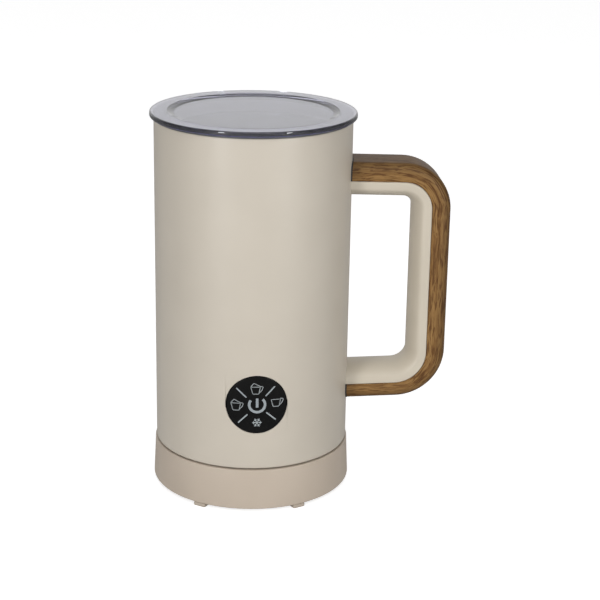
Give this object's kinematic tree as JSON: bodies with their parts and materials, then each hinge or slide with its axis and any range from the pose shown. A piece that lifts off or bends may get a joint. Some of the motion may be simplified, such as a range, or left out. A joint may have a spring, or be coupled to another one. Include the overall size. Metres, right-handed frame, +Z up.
{
  "type": "automatic milk frother",
  "caption": "Automatic milk frother: round jug with touch panel, D handle and clear dished lid, magnetically driven spring whisk, lift-off power base.",
  "frame": {"origin": "centre of the plane that the base's feet stand on, on the jug's axis", "axes": "+Z up along the jug's axis, +X towards the handle, -Y towards the touch panel"},
  "size_m": [0.1523, 0.1045, 0.1971],
  "materials": {
    "beige_plastic": "satin beige, painted or moulded",
    "wood_look": "wood-grain film on plastic, satin",
    "black_rubber": "matt",
    "silicone": "translucent white silicone",
    "clear_plastic": "clear, polished",
    "panel_glass": "gloss black with grey marks",
    "cup_coating": "dark non-stick coating, fine satin",
    "steel": "plain",
    "brass": "plain",
    "aluminium": "plain",
    "black_plastic": "moulded",
    "board": "circuit board",
    "magnet": "nickel plated"
  },
  "bodies": {
    "base": {"base_shell": "beige_plastic", "base_bottom_plate": "beige_plastic", "base_feet": "beige_plastic", "base_screws": "steel", "cord_grommet": "black_rubber", "base_connector": "black_plastic", "base_contacts": "brass", "connector_screws": "steel"},
    "jug": {"outer_housing": "beige_plastic", "jug_bottom_cover": "beige_plastic", "cover_screws": "steel", "jug_connector": "black_plastic", "jug_contacts": "brass", "jug_connector_screws": "steel", "inner_cup": "cup_coating", "cup_rim_seal": "silicone", "cup_studs": "steel", "stud_nuts": "steel", "whisk_pivot_pin": "steel", "heater_plate": "aluminium", "heater_element": "steel", "thermostat": "steel", "temperature_sensor": "brass", "thermal_fuse": "steel", "motor_bracket": "steel", "motor_can": "steel", "motor_screws": "steel", "control_board": "board", "board_parts": "black_plastic", "board_screws": "steel", "touch_board": "board", "touch_springs": "steel", "touch_board_screws": "steel", "touch_panel": "panel_glass", "handle_liner": "beige_plastic", "handle_grip": "wood_look", "handle_gaskets": "black_rubber", "handle_screws": "steel"},
    "lid": {"lid": "clear_plastic", "lid_seal": "silicone"},
    "drive_rotor": {"motor_shaft": "steel", "magnet_holder": "black_plastic", "drive_magnets": "magnet"},
    "whisk": {"whisk_hub": "black_plastic", "whisk_magnets": "magnet", "whisk_spring": "steel"}
  },
  "joints": [
    {"name": "jug_lift", "type": "slide", "parent": "base", "child": "jug", "axis": [0, 0, 1], "range_m": [0, 0.06]},
    {"name": "lid_lift", "type": "slide", "parent": "jug", "child": "lid", "axis": [0, 0, 1], "range_m": [0, 0.06]},
    {"name": "drive_spin", "type": "hinge", "parent": "jug", "child": "drive_rotor", "pos_m": [0, 0, 0.07], "axis": [0, 0, 1], "continuous": true},
    {"name": "whisk_spin", "type": "hinge", "parent": "jug", "child": "whisk", "pos_m": [0, 0, 0.086], "axis": [0, 0, 1], "continuous": true}
  ],
  "couplings": [
    {"joint": "whisk_spin", "follows": "drive_spin", "ratio": 1}
  ]
}
